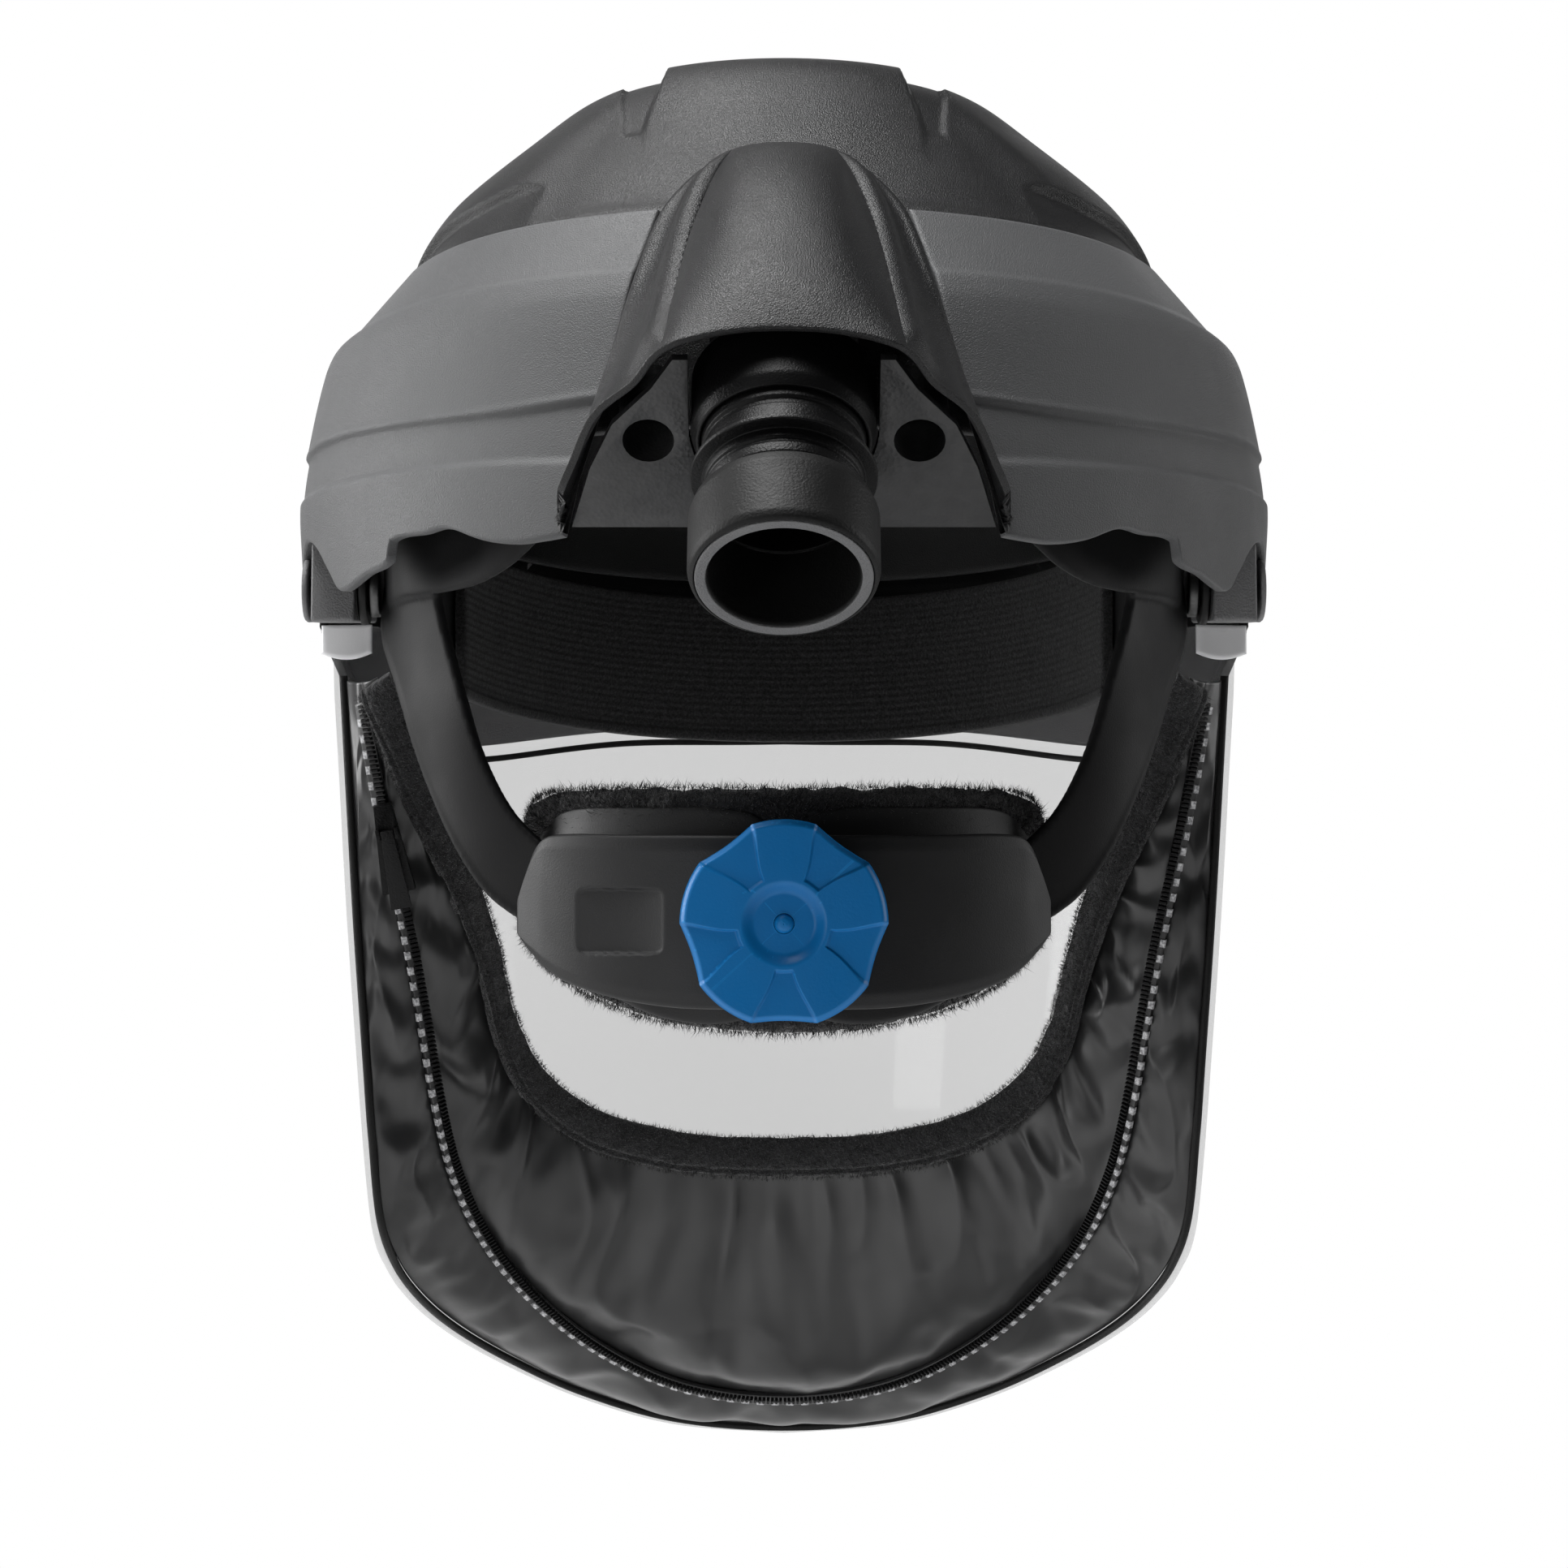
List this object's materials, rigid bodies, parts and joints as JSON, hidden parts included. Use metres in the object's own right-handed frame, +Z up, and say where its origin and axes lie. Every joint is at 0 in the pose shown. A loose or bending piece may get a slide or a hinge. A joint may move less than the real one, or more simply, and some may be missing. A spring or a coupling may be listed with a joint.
{
  "type": "powered air respirator headtop",
  "caption": "Head-mounted breathing hood with bump-cap shell, rear air duct with hose connector, ratchet head harness and lift-up visor with zipped fabric face seal.",
  "frame": {"origin": "point on the middle plane at temple height inside the head opening, a little ahead of the visor pivots", "axes": "+Z up, the visor faces -Y, the hose leaves at +Y, and +X is the wearer's left"},
  "size_m": [0.2536, 0.3417, 0.3705],
  "materials": {
    "shell": "moulded charcoal plastic with a fine even grain",
    "panel": "moulded mid-grey plastic with a fine even grain",
    "black_plastic": "moulded black plastic, finely grained",
    "inner_plastic": "plain dark moulded plastic",
    "steel": "bright zinc-plated steel",
    "rubber": "soft black rubber",
    "lens": "clear hard-coated polycarbonate",
    "nylon": "glossy coated black nylon cloth",
    "fleece": "soft black fleece",
    "knit": "ribbed black knit",
    "harness_plastic": "satin black plastic",
    "blue_plastic": "satin mid-blue plastic"
  },
  "bodies": {
    "root": {"crown_shell": "shell", "duct_cover": "shell", "side_panel_left": "panel", "side_panel_right": "panel", "duct_plate": "black_plastic", "hose_socket": "black_plastic", "pivot_cap_left": "black_plastic", "pivot_cap_right": "black_plastic", "air_channel": "inner_plastic", "air_outlet": "inner_plastic", "pivot_bracket_left": "inner_plastic", "pivot_bracket_right": "inner_plastic", "nape_housing": "inner_plastic", "duct_screw_left": "steel", "duct_screw_right": "steel", "pivot_pin_left": "steel", "pivot_pin_right": "steel", "socket_seal": "rubber", "pivot_washer_left": "rubber", "pivot_washer_right": "rubber", "nape_pad": "fleece", "sweatband": "knit", "forehead_frame": "harness_plastic", "crown_strap": "harness_plastic", "temple_bracket_left": "harness_plastic", "temple_bracket_right": "harness_plastic", "nape_cover": "harness_plastic", "nape_pad_carrier": "harness_plastic"},
    "visor": {"visor_frame": "black_plastic", "lens": "lens", "lens_gasket": "rubber", "brow_gasket": "rubber", "lens_clip_left": "lens", "lens_clip_right": "lens", "face_seal": "nylon", "face_seal_band": "fleece", "zipper": "nylon"},
    "hose_connector": {"swivel_tube": "black_plastic", "connector_sleeve": "rubber"},
    "knob": {"knob": "blue_plastic", "knob_pinion": "inner_plastic", "knob_cap": "blue_plastic"},
    "arm_left": {"arm_left": "harness_plastic", "rack_left": "inner_plastic"},
    "arm_right": {"arm_right": "harness_plastic", "rack_right": "inner_plastic"},
    "zipper_slider": {"zipper_slider": "black_plastic"},
    "zipper_pull": {"zipper_pull": "steel"}
  },
  "joints": [
    {"name": "visor_lift", "type": "hinge", "parent": "root", "child": "visor", "pos_m": [0, 0.024, -0.002], "axis": [-1, 0, 0], "range_deg": [0, 60]},
    {"name": "hose_swivel", "type": "hinge", "parent": "root", "child": "hose_connector", "pos_m": [0, 0.132, 0.021], "axis": [0, 0.5, -0.866], "continuous": true},
    {"name": "knob_turn", "type": "hinge", "parent": "root", "child": "knob", "pos_m": [0, 0.108, -0.094], "axis": [0, 0.9954, -0.0958], "range_deg": [-75, 75]},
    {"name": "arm_left_swing", "type": "hinge", "parent": "root", "child": "arm_left", "pos_m": [0, 0.02588, -0.08609], "axis": [0, 0.0958, 0.9954], "range_deg": [-4.55, 4.55]},
    {"name": "arm_right_swing", "type": "hinge", "parent": "root", "child": "arm_right", "pos_m": [0, 0.02588, -0.08609], "axis": [0, 0.0958, 0.9954], "range_deg": [-4.55, 4.55]},
    {"name": "zipper_slide", "type": "slide", "parent": "visor", "child": "zipper_slider", "axis": [0.1735, 0.2629, 0.9491], "range_m": [-0.012, 0.012]},
    {"name": "pull_swing", "type": "hinge", "parent": "zipper_slider", "child": "zipper_pull", "pos_m": [0.10634, -0.01329, -0.06211], "axis": [0.9828, 0.0151, -0.1839], "range_deg": [0, 120]}
  ],
  "couplings": [
    {"joint": "arm_left_swing", "follows": "knob_turn", "ratio": -0.0606},
    {"joint": "arm_right_swing", "follows": "knob_turn", "ratio": 0.0606}
  ]
}
